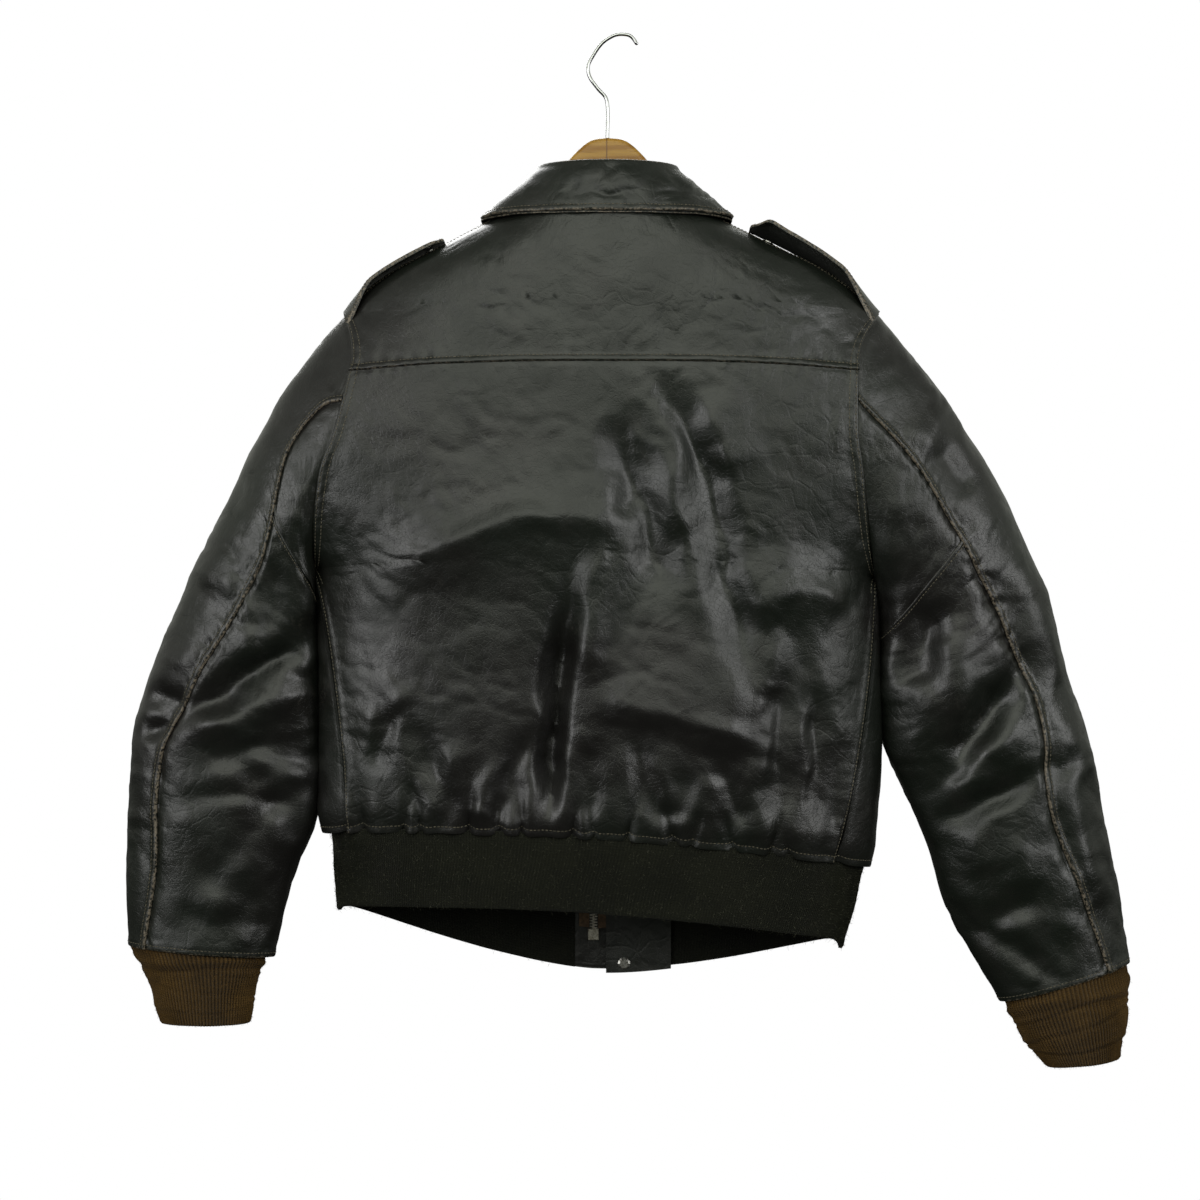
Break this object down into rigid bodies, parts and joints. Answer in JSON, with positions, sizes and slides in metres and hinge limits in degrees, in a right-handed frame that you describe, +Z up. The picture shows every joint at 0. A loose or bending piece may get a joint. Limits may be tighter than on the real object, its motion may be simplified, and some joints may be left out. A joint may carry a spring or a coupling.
{
  "type": "leather flight jacket hanging on a wooden clothes hanger",
  "caption": "Worn leather flight jacket with shoulder straps, closed zip, knit waistband and cuffs, hanging on a wooden hanger with a wire hook, seen from its back.",
  "frame": {"origin": "inside of the hanger hook's top, where it hangs on its rail or hook", "axes": "+Z up; +Y out of the jacket's back, towards the picture's camera; +X towards the wearer's left sleeve"},
  "size_m": [0.8869, 0.1432, 0.9123],
  "materials": {
    "leather": "worn, creased, semi-gloss with dull scuffs",
    "cuff_knit": "brown ribbed wool knit",
    "band_knit": "olive-black fuzzy wool knit",
    "zip_tape": "woven brown cotton tape",
    "zip_metal": "dull plated metal",
    "snap_metal": "worn plated snap",
    "hanger_wood": "clear varnished light wood",
    "hook_chrome": "polished wire"
  },
  "bodies": {
    "root": {"back_panel": "leather", "back_yoke": "leather", "front_left": "leather", "front_right": "leather", "sleeve_upper_left": "leather", "sleeve_gusset_left": "leather", "sleeve_under_left": "leather", "sleeve_upper_right": "leather", "sleeve_gusset_right": "leather", "sleeve_under_right": "leather", "hem_tab_left": "leather", "hem_tab_right": "leather", "collar": "leather", "collar_under": "leather", "epaulette_left": "leather", "epaulette_right": "leather", "wind_flap": "leather", "cuff_left": "cuff_knit", "cuff_right": "cuff_knit", "waistband": "band_knit", "zip_tape_left": "zip_tape", "zip_tape_right": "zip_tape", "zip_chain": "zip_metal", "zip_box": "zip_metal", "zip_slider": "zip_metal", "hem_snap": "snap_metal", "epaulette_snap_left": "snap_metal", "epaulette_snap_right": "snap_metal", "epaulette_stud_left": "snap_metal", "epaulette_stud_right": "snap_metal", "hanger_wood": "hanger_wood", "hanger_hook": "hook_chrome"},
    "pull_tab": {"zip_pull_tab": "zip_metal"}
  },
  "joints": [
    {"name": "pull_tab_hinge", "type": "hinge", "parent": "root", "child": "pull_tab", "pos_m": [0.01176, -0.06716, -0.23572], "axis": [-1, 0, 0], "range_deg": [0, 150]}
  ]
}
